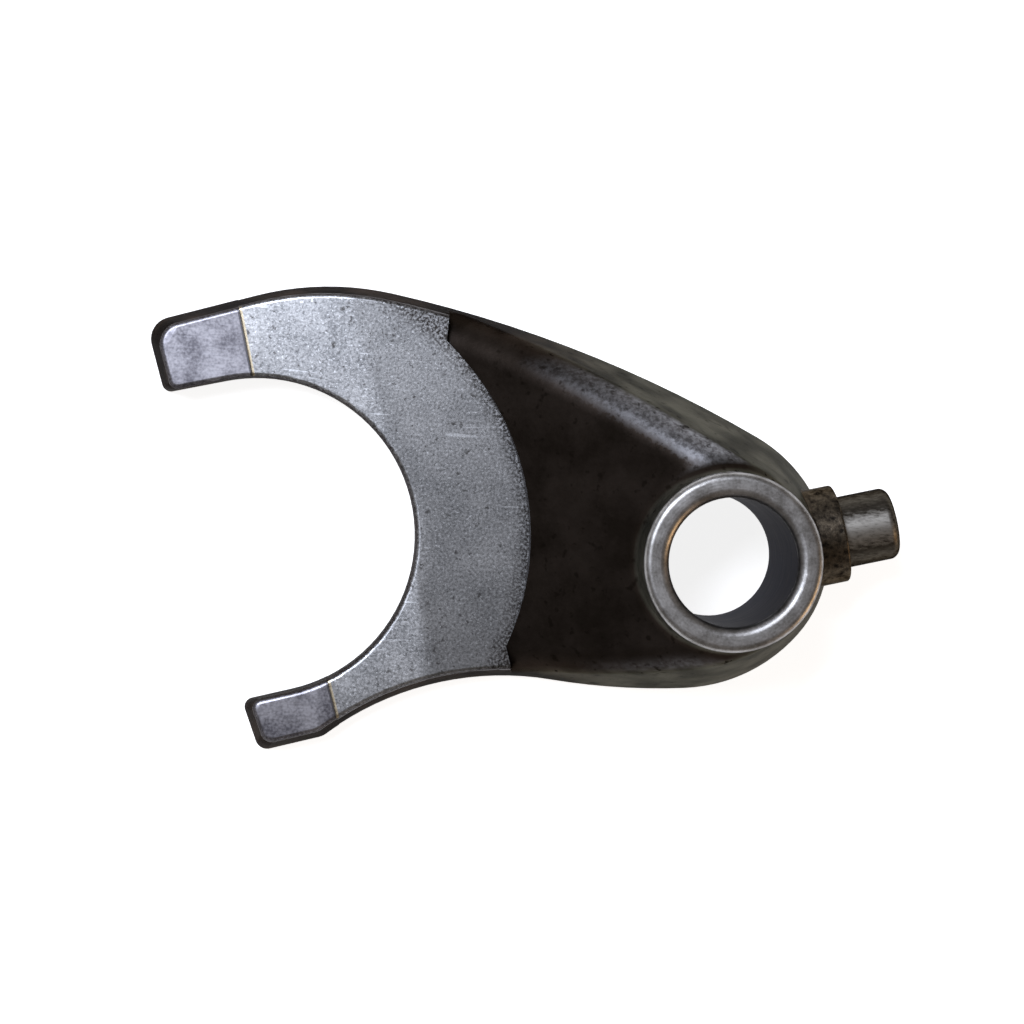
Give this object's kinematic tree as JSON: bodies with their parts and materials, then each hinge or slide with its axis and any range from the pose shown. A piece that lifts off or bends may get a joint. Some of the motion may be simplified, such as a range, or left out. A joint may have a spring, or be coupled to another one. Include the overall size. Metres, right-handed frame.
{
  "type": "transmission shift fork",
  "caption": "Forged gearbox shift fork: a C-shaped claw that straddles a sliding gear, a sloping web, a boss bored for the fork shaft, and a guide pin for the shift drum.",
  "frame": {"origin": "on the axis of the shaft bore, at the ground back face of the boss", "axes": "+Z along the bore from the back face to the ring, -X towards the middle of the opening between the claws, +Y towards the long upper claw"},
  "size_m": [0.0729, 0.0454, 0.02],
  "materials": {
    "forged_steel": "forged steel: crescent and claws tumbled bright grey, web and boss in dark oxide, ring, bore and claw tips machined"
  },
  "bodies": {
    "root": {"shift_fork": "forged_steel"}
  },
  "joints": []
}
